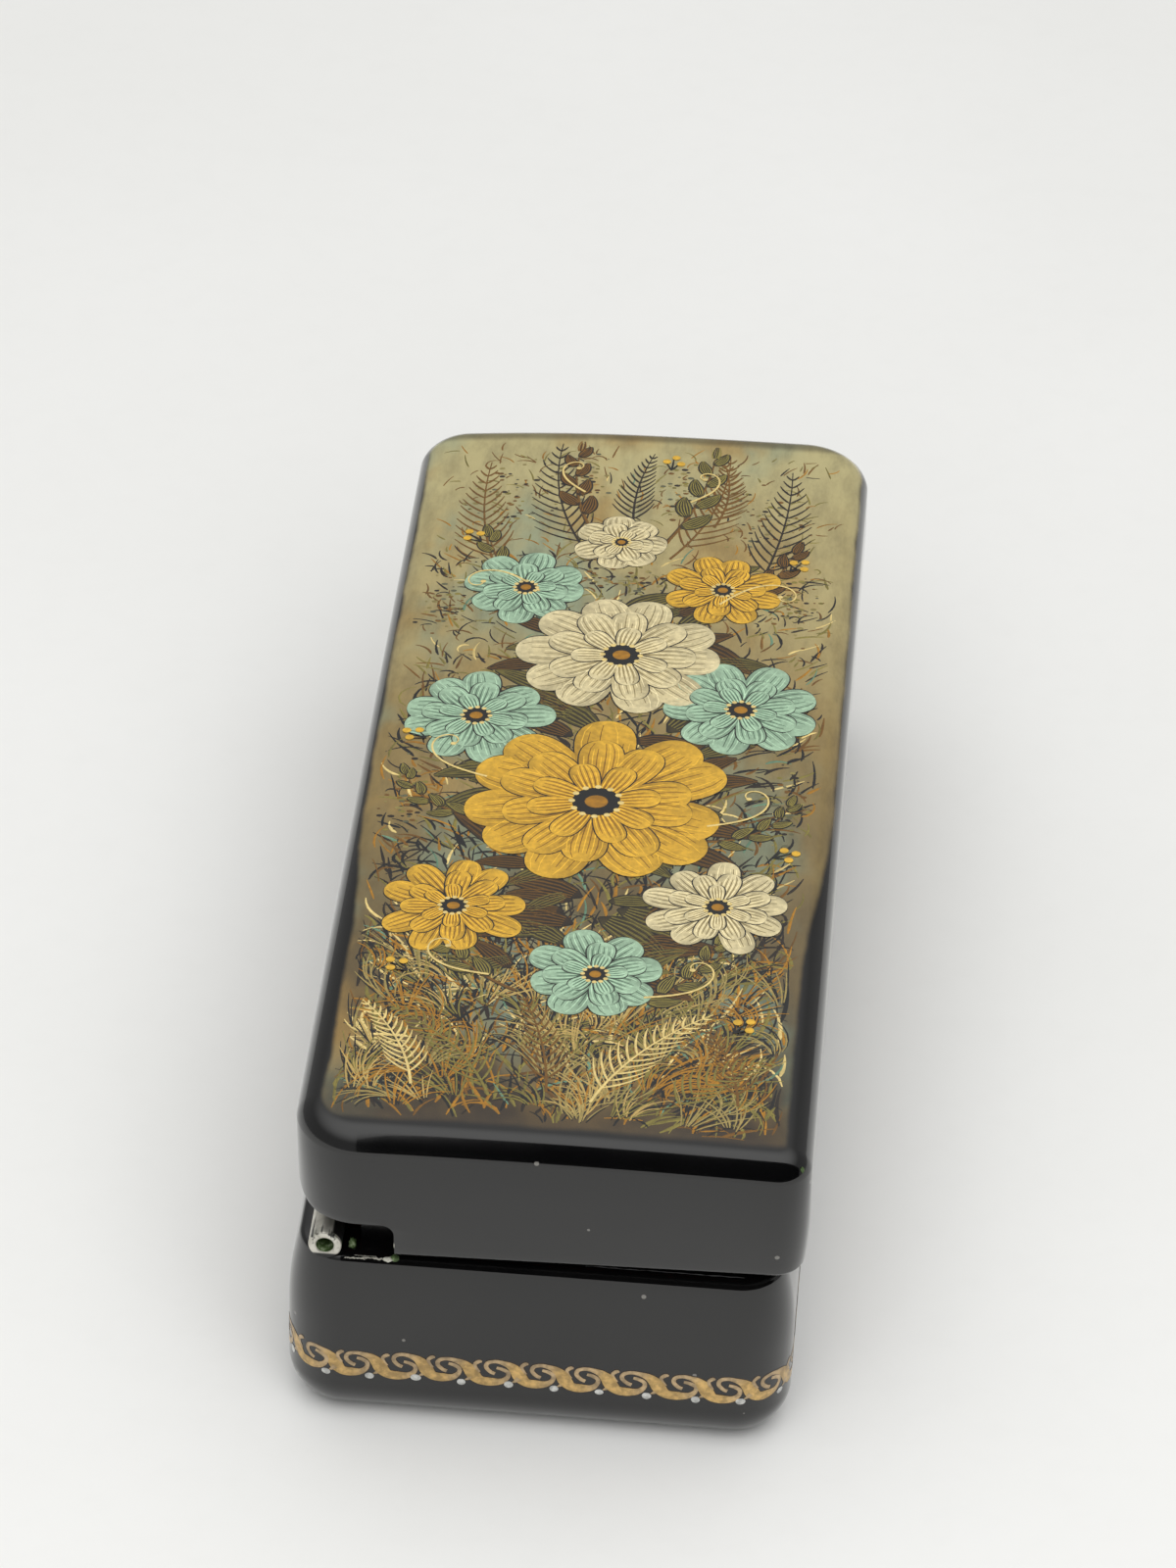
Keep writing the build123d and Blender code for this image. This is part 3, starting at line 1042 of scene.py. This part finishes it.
# Ferns and sprays: root, angle, length, curl and tint or tones
FERNS = [
    (3, -51, 1.25, 17, -0.6, LINE_GOLD), (10, -52, 1.2, 14, -0.9, OLIVE), (-6, -51, 1.9, 16, 0.7, OLIVE),
    (-13, -50, 1.7, 13, 0.6, LINE_GOLD), (16, -50, 1.6, 12, 0.6, BROWN), (-1, -50, 1.6, 14, 0.4, BROWN),
    (4, 34, 1.0, 20, 0.6, BROWN), (-4, 34, 2.1, 21, -0.6, OLIVE_DEEP),
    (13, 30, 1.3, 21, 0.3, OLIVE_DEEP), (-13, 31, 1.9, 20, -0.4, BROWN),
    (0, 39, 1.7, 14, -0.4, OLIVE_DEEP), (8, 40, 1.2, 13, 0.7, BROWN),
]
SPRAYS = [
    (4, -38, 0.4, 14, 0.9, OLIVES), (-5, -36, 2.7, 14, -0.8, OLIVES), (9, -12, -0.2, 12, 1.5, OLIVES),
    (-9, -10, 3.3, 12, -1.4, OLIVES), (8, 24, 0.6, 15, 0.7, BROWNS), (-7, 24, 2.4, 15, -0.6, OLIVES),
    (3, 36, 1.1, 17, 0.4, OLIVES), (-4, 38, 2.0, 15, -0.5, BROWNS),
]
SPRAY_LEAVES = 7

# Tendrils: root, angle, length and curl. Berries: root and angle, and turn and reach of their stalks
TENDRILS = [
    (10, -10, 0.3, 16, 5.5), (-10, -4, 2.8, 17, -5.5), (9, 26, 0.9, 17, -5.8), (-8, 27, 2.3, 16, 5.6),
    (6, -36, 0.2, 16, 5.2), (-7, -34, 3.0, 15, -5.2), (5, 44, 0.7, 12, 5.6), (-5, 45, 2.4, 12, -5.4),
    (17, -4, 1.5, 15, -5.0), (-18, 16, 1.6, 14, 5.0),
]
BERRIES = [
    (16, 33, 0.9), (17, -14, 0.4), (-15, 36, 2.2), (15, -40, 0.9), (-17, 2, 2.6), (-15, -34, 2.4),
    (3, 50, 1.4),
]
STALKS = [(-0.5, 1.5), (0.0, 2.3), (0.5, 1.6)]

# Flowers: middle, radius, tones, layer, petals and their breadth
FLOWERS = [
    (-1, 36.5, 4.4, CREAMS, 7, 7, 0.36),
    (9.6, 29, 5.6, OCHRES, 7, 8, 0.30),
    (-9.8, 28, 5.8, TURQUOISES, 7, 8, 0.34),
    (2, -33, 6.0, TURQUOISES, 7, 8, 0.34),
    (12.4, -22, 6.4, CREAMS, 7, 9, 0.30),
    (-11.8, -24, 6.6, OCHRES, 7, 9, 0.30),
    (-12.6, 6, 7.0, TURQUOISES, 8, 9, 0.34),
    (12.6, 9, 7.2, TURQUOISES, 8, 9, 0.34),
    (0.5, 17, 9.6, CREAMS, 9, 10, 0.36),
    (0, -7, 12.2, OCHRES, 10, 11, 0.38),
]
BEADS = 12


def sweep_line(start, angle, length, curl, shares):
    """Line that leaves start at an angle and turns steadily, with points at shares of its length."""
    steps = length * np.diff(shares, prepend=0)[:, None] * spokes(angle + curl * shares)
    return np.asarray(start, float) + np.cumsum(steps, axis=0)


def toward(start, angle, distance):
    return np.asarray(start, float) + distance * np.array([cos(angle), sin(angle)])


def blade(strokes, start, angle, length, half, curl, tint, layer):
    line = sweep_line(start, angle, length, curl, np.linspace(0, 1, len(BLADE)))
    strokes.add(line, half * BLADE + 0.03, (0.7 * tint, tint, tint), layer)


def lobe(strokes, start, angle, length, half, curl, deep, light, layer, blunt=False):
    """Leaf or petal with a dark edge round it and fine lines along it."""
    share = np.sin(np.linspace(0, pi / 2, LOBE_POINTS))
    line = sweep_line(start, angle, length, curl, share)
    if blunt:
        width = half * np.sqrt(share * (1 - share**5)) + 0.05
    else:
        width = half * np.sin(pi * share**0.8) ** 0.85 + 0.04
    tint = deep + (light - deep) * (0.10 + 0.78 * share[:, None])
    strokes.add(line, width + LOBE_OUTLINE, BROWN_DEEP, layer)
    strokes.add(line, width, (0.72 * tint, tint, 0.9 * tint + 0.1 * light), layer + 1)
    for index, offset in enumerate(np.linspace(-0.78, 0.78, RIBS)):
        rib = (line + leftward(line) * (offset * width)[:, None])[1:RNG.integers(9, 14):2]
        rib_tint = 0.55 * deep if index % 2 else 1.22 * light
        strokes.add(rib, np.linspace(0.07, 0.035, len(rib)), rib_tint, layer + 2)


def fern(strokes, start, angle, length, curl, tint, layer):
    """Stem with pairs of fine blades that grow shorter toward its tip."""
    stem = sweep_line(start, angle, length, curl, np.linspace(0, 1, FERN_POINTS))
    strokes.add(stem, np.linspace(0.14, 0.05, FERN_POINTS), (0.8 * tint, tint, tint), layer)
    for index in range(2, FERN_POINTS - 1):
        heading = angle + curl * index / (FERN_POINTS - 1)
        reach = 0.26 * length * (1 - (index / FERN_POINTS) ** 1.6)
        for way in (-1, 1):
            blade(strokes, stem[index], heading + way * 0.95, reach, 0.10, -way * 0.5, tint, layer)


def spray(strokes, start, angle, length, curl, deep, light, layer):
    """Stem with leaves on both sides and one at its tip."""
    last = SPRAY_POINTS - 1
    stem = sweep_line(start, angle, length, curl, np.linspace(0, 1, SPRAY_POINTS))
    strokes.add(stem, np.linspace(0.22, 0.07, SPRAY_POINTS), (BROWN_DEEP, BROWN, BROWN), layer)
    for index, at in enumerate(np.linspace(4, last - 1, SPRAY_LEAVES).astype(int)):
        heading = angle + curl * at / last
        way = 1 if index % 2 else -1
        size = 0.24 * length * (1.1 - 0.5 * at / last)
        lobe(strokes, stem[at], heading + way * 0.8, size, 0.2 * size, -way * 0.6, deep, light, layer)
    lobe(strokes, stem[-1], angle + curl, 0.16 * length, 0.03 * length, 0.0, deep, light, layer)


def tendril(strokes, start, angle, length, curl):
    """Fine line that winds up into a curl with a dot in it."""
    share = np.linspace(0, 1, TENDRIL_POINTS)
    reach = length / (TENDRIL_POINTS - 1) * (1.15 - 0.8 * share)
    steps = reach[:, None] * spokes(angle + curl * share**2.2)
    line = np.asarray(start, float) + np.cumsum(steps, axis=0)
    half = np.linspace(0.13, 0.06, TENDRIL_POINTS)
    strokes.add(line, half, (0.8 * LINE_GOLD, LINE_GOLD, LINE_GOLD), FINE_LAYER)
    dot(strokes, line[-1], (0.28, 0.24), LINE_GOLD, FINE_LAYER + 1)


def blossom(strokes, centre, radius, deep, light, layer, petals, broad):
    """Flower of three rings of petals round a dotted eye."""
    spin = RNG.uniform(0, tau)
    for ring, (size, count) in enumerate(((1.0, petals), (0.72, petals - 1), (0.46, petals - 3))):
        half = broad * size * radius * 9 / petals
        for index in range(count):
            angle = spin + ring * 0.4 + tau * index / count + RNG.normal(0, 0.05)
            start = toward(centre, angle, 0.06 * radius)
            reach = size * radius * RNG.uniform(0.92, 1.05)
            curl = RNG.normal(0, 0.15)
            shade = deep * (0.80 + 0.18 * ring)
            lobe(strokes, start, angle, reach, half, curl, shade, light, layer + 3 * ring, blunt=True)
    dot(strokes, centre, (0.19 * radius, 0.18 * radius), BROWN_DEEP, layer + 10)
    dot(strokes, centre, (0.09 * radius, 0.08 * radius), OCHRE_DEEP, layer + 11)
    bead = 0.13 + 0.015 * radius
    for index in range(BEADS):
        spot = toward(centre, tau * index / BEADS, 0.19 * radius)
        dot(strokes, spot, (bead, 0.9 * bead), LINE_GOLD, layer + 11)


def berries(strokes, start, angle):
    for turn, reach in STALKS:
        blade(strokes, start, angle + turn, reach, 0.07, 0.2, BROWN_DEEP, FINE_LAYER)
        dot(strokes, toward(start, angle + turn, reach), (0.42, 0.40), OCHRE, FINE_LAYER + 1)


def grass(strokes):
    """Brushed grass that leans outward: dense and dark at the near end, thin toward the far one."""
    for count, low, high, odds, length, half in GRASS:
        for _ in range(count):
            x, y = RNG.uniform(-GRASS_SIDE, GRASS_SIDE), RNG.uniform(low, high)
            lean = pi / 2 - 0.04 * x + RNG.normal(0, 0.5)
            tint = GRASS_TINTS[RNG.choice(len(GRASS_TINTS), p=odds)] * RNG.uniform(0.8, 1.15)
            reach, wide = RNG.uniform(*length), RNG.uniform(*half)
            blade(strokes, (x, y), lean, reach, wide, RNG.normal(0, 0.9), tint, 0)


def stipple(strokes):
    """Loose clouds of small dabs behind the far ferns and along the sides."""
    for x, y, wide, long in CLOUDS:
        for _ in range(DABS):
            spot = (x + RNG.normal(0, 0.5 * wide), y + RNG.normal(0, 0.5 * long))
            size = RNG.uniform(0.10, 0.34)
            tint = DAB_TINTS[RNG.integers(len(DAB_TINTS))] * RNG.uniform(0.8, 1.2)
            dot(strokes, spot, (size, 0.6 * size), tint, DAB_LAYER)


def tufts(strokes):
    """Clumps of fine blades that bend together, dark with lighter ones over them."""
    for _ in range(TUFTS):
        root = np.array([RNG.uniform(-19.5, 19.5), RNG.uniform(-54, -33)])
        lean = pi / 2 - 0.03 * root[0] + RNG.normal(0, 0.35)
        bend = RNG.normal(0, 0.9)
        size = RNG.uniform(3.5, 7.5)
        light = TUFT_TINTS[RNG.integers(len(TUFT_TINTS))]
        for layer, tint in enumerate((BROWN_DEEP, light), 1):
            for turn in np.linspace(-0.4, 0.4, TUFT_BLADES) + RNG.normal(0, 0.05, TUFT_BLADES):
                start = root + (1.6 * turn, RNG.uniform(0, 0.8))
                reach = size * RNG.uniform(0.6, 1.1)
                half = RNG.uniform(0.04, 0.08)
                blade(strokes, start, lean - turn, reach, half, bend - turn, tint, layer)


def backing(strokes):
    """Dark leaves that fan out behind the flowers."""
    for index in range(BACKING):
        y = RNG.uniform(-34, 30)
        side = 1 if index % 2 else -1
        angle = pi / 2 - side * RNG.uniform(0.5, 2.0)
        start = (side * RNG.uniform(0, 9), y)
        deep, light = OLIVES if RNG.uniform() < 0.6 else BROWNS
        length = RNG.uniform(5, 9)
        lobe(strokes, start, angle, length, 0.16 * length, -side * 0.5, deep, light * 0.7, BACKING_LAYER)


def greenery(strokes):
    """Ferns, sprays, tendrils and berries round the flowers."""
    for x, y, angle, length, curl, tint in FERNS:
        fern(strokes, (x, y), angle, length, curl, tint, FERN_LAYER)
    for x, y, angle, length, curl, tones in SPRAYS:
        spray(strokes, (x, y), angle, length, curl, *tones, SPRAY_LAYER)
    for x, y, *shape in TENDRILS:
        tendril(strokes, (x, y), *shape)
    for x, y, angle in BERRIES:
        berries(strokes, (x, y), angle)


def flowers(strokes):
    for x, y, radius, tones, layer, petals, broad in FLOWERS:
        blossom(strokes, (x, y), radius, *tones, layer, petals, broad)


def in_field(line):
    """Whether a stroke lies on the painted field."""
    x, y = line.T
    side = FIELD_SIDE - np.interp(y, FIELD_TAPER, (0.8 * FIELD_NARROWED, 0.0))
    return np.all(np.abs(x) < side) and y.min() > FIELD_NEAR + 0.3 and y.max() < FIELD_FAR


def lid_design():
    strokes = Strokes(lid_face, in_field)
    for step in (grass, stipple, tufts, backing, greenery, flowers):
        step(strokes)
    return strokes.piece("lid_design", paint("lid_paint"))


# Wear: small chips and crumbs of crust round the hinge and at a corner of the lid; also painted highlights
# along the base's rim and on the notch's edge

CRUMB_ROUNDS = 7
CRUMB_STEPS = 12
RIM_MARK_STEPS = 22
BARED_WHITE = np.array([0.36, 0.35, 0.30])
# Grey of the painted highlight line along the base's rim
RIM_HIGHLIGHT_GREY = np.array([0.20, 0.20, 0.20])

# Lines along the rim, the first three bared by wear and the last a painted highlight: start, end, way up
# its rounding, half width and tint
RIM_WEAR_AND_HIGHLIGHT = [
    (-17.4, -15.6, 0.42, 0.09, BARED_WHITE),
    (-16.0, -13.4, 0.52, 0.11, BARED_WHITE),
    (-16.6, -14.6, 0.72, 0.05, BARED_WHITE),
    (4.0, 18.2, 1.55, 0.07, RIM_HIGHLIGHT_GREY),
]


def crumb(name, centre, radii, material):
    """Small uneven lump, flattened onto the surface under it."""
    turn = np.linspace(0, tau, CRUMB_STEPS, endpoint=False)
    rings = []
    for rise in np.linspace(-pi / 2, pi / 2, CRUMB_ROUNDS):
        ring = np.column_stack([(cos(rise) + 0.02) * spokes(turn), np.full(CRUMB_STEPS, sin(rise))])
        rings.append(ring * RNG.uniform(0.7, 1.15, (CRUMB_STEPS, 1)) * radii + centre)
    piece = add_piece(name, *skin(rings), [material])
    smooth(piece, 50)
    return piece


def rim_point(x, arc, lift):
    """Point on the front of the base's rim, by the way up its rounding from the wall."""
    turn = np.clip(arc / RIM_ROUND, 0, pi / 2)
    beyond = np.maximum(arc - RIM_ROUND * pi / 2, 0)
    reach = RIM_ROUND - (RIM_ROUND + lift) * np.cos(turn) + beyond
    height = BASE_RIM - RIM_ROUND + (RIM_ROUND + lift) * np.sin(turn)
    return np.stack([x, -BASE_LENGTH / 2 + SKIN + BASE_LEAN + reach, height], axis=-1)


def chipped_rim_and_highlight():
    """Bared edge of the base's rim below the notch, and a painted highlight line toward its opening end."""
    strokes = Strokes(rim_point)
    for start, end, arc, half, tint in RIM_WEAR_AND_HIGHLIGHT:
        x = np.linspace(start, end, RIM_MARK_STEPS)
        line = np.stack([x, arc + RNG.normal(0, 0.35 * half, RIM_MARK_STEPS)], axis=1)
        strokes.add(line, half * RNG.uniform(0.15, 1.0, RIM_MARK_STEPS), tint, 1)
    return strokes.piece("chipped_rim_and_highlight", paint("bared_ground_and_highlight", 0.0, 0.5))


base = base_shell()
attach(base, "base")
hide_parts("base_floor", "base_wall")

lid = lid_shell()
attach(lid, "lid")
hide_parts("lid_wall", "lid_top")

for body, places in (("base", ("front", "middle", "rear")), ("lid", ("front", "rear"))):
    for place in places:
        name = f"{body}_knuckle_{place}"
        tube = knuckle(name)
        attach(tube, body)
        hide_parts(name)

scroll = border()
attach(scroll, "base")

design = lid_design()
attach(design, "lid")

rim_wear_and_highlight = chipped_rim_and_highlight()
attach(rim_wear_and_highlight, "base")
corner_spot = lid_place(22.02, -56.40, 12.0 - TWIST)
for name, body, centre, radii, material in (
    ("crumb_notch", "base", (-13.5, -56.75, 18.72), (0.50, 0.32, 0.20), CHALK_AND_HIGHLIGHT),
    ("crumb_notch_green", "base", (-12.95, -56.6, 18.80), (0.42, 0.35, 0.36), VERDIGRIS),
    ("crumb_inside", "base", (-16.9, -55.2, 18.85), (0.42, 0.50, 0.66), VERDIGRIS),
    # thin pale streak along the notch's edge: a painted highlight
    ("notch_edge_highlight", "lid", (-12.93, -57.62, 21.20), (0.05, 0.08, 0.36), CHALK_AND_HIGHLIGHT),
    ("crumb_corner", "lid", corner_spot, (0.26, 0.26, 0.42), VERDIGRIS),
):
    piece = crumb(name, centre, radii, material)
    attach(piece, body)

frame["nodes"]["hinge_pin"].material_slots[0].material = tarnished_wire()
frame["nodes"]["base_lip"].material_slots[0].material = lip_lacquer()


# Table, light and camera

TABLE_HALF = 1800.0
TABLE_TONES = [(0.3, (0.80, 0.80, 0.785)), (0.7, (0.84, 0.84, 0.83))]
TABLE_GRAIN = (0.66, 0.66, 0.64)
CARD = [(-100, -700, 5), (2500, -700, 5), (2500, -160, 900), (-100, -160, 900)]

# The sky's strength between two rises, from 0 level to 1 overhead, and the fill in metres and watts
SKY_RISE = (0.5, 1.0)
SKY_STRENGTH = (0.32, 1.45)
SKY_COLOUR = (1.0, 1.0, 0.985)
FILL_SIZE = (1.2, 0.8)
FILL_PLACE = (0.1, -0.7, 0.8)
FILL_POWER = 6.0

CAMERA_AZIMUTH = 3.53
CAMERA_HEIGHT = 36.55
CAMERA_ROLL = 1.95
CAMERA_DISTANCE = 609.28
CAMERA_TARGET = (-1.97, 21.12, 15.0)
CAMERA_LENS = 140.64
CAMERA_SENSOR = 36.0
CAMERA_NEAREST = 0.01


def floor():
    """Pale table with a faint grain."""
    shader = Shader("pale_table")
    tone = shader.ramp(shader.noise(9, 3), TABLE_TONES)
    grain = shader.span(shader.noise(260, 5, 0.6), 0.4, 0.8, 0.0, 0.06)
    shader.set(Base_Color=shader.blend(grain, tone, TABLE_GRAIN), Roughness=0.6)
    corners = [(x * TABLE_HALF, y * TABLE_HALF, 0) for x, y in ((-1, -1), (1, -1), (1, 1), (-1, 1))]
    table = add_piece("table", corners, [[0, 1, 2, 3]], [shader.owner])


def dark_card():
    """Black card on the camera's side, seen only in reflections."""
    shader = Shader("black_card")
    shader.set(Base_Color=(0.0, 0.0, 0.0), Roughness=1.0, Specular_IOR_Level=0.0)
    card = add_piece("card", CARD, [[0, 1, 2, 3]], [shader.owner])
    card.visible_camera = False
    card.visible_diffuse = False
    card.visible_shadow = False


def sky():
    """Soft white tent, brighter overhead."""
    shader = Shader("tent", "worlds", "Background")
    _, _, height = shader.parts("SeparateXYZ", {0: shader.add("TexCoord", output="Generated")})
    shader.set(Color=SKY_COLOUR, Strength=shader.span(height, *SKY_RISE, *SKY_STRENGTH))
    bpy.context.scene.world = shader.owner


def front_fill():
    """Large soft light over the camera, kept out of the reflections."""
    lamp = bpy.data.lights.new("front_fill", "AREA")
    lamp.shape = "RECTANGLE"
    lamp.size, lamp.size_y = FILL_SIZE
    lamp.energy = FILL_POWER
    fill = bpy.data.objects.new("front_fill", lamp)
    fill.location = FILL_PLACE
    fill.rotation_euler = fill.location.to_track_quat("Z", "Y").to_euler()
    fill.visible_glossy = False
    bpy.context.scene.collection.objects.link(fill)


def camera():
    """The photo's camera, fitted to its outline."""
    azimuth, height, roll = (radians(a) for a in (CAMERA_AZIMUTH, CAMERA_HEIGHT, CAMERA_ROLL))
    turns = ((azimuth, "Z"), (pi / 2 - height, "X"), (roll, "Z"))
    around, tipped, rolled = (Matrix.Rotation(angle, 4, axis) for angle, axis in turns)
    turned = around @ tipped @ rolled
    place = Vector(CAMERA_TARGET) + CAMERA_DISTANCE * turned.col[2].to_3d()
    lens = bpy.data.cameras.new("camera")
    lens.lens = CAMERA_LENS
    lens.sensor_width = CAMERA_SENSOR
    lens.clip_start = CAMERA_NEAREST
    view = bpy.data.objects.new("camera", lens)
    view.matrix_world = Matrix.Translation(place * MM) @ turned
    bpy.context.scene.collection.objects.link(view)
    bpy.context.scene.camera = view


floor()
dark_card()
front_fill()
sky()
camera()
bpy.context.scene.view_settings.view_transform = "Standard"
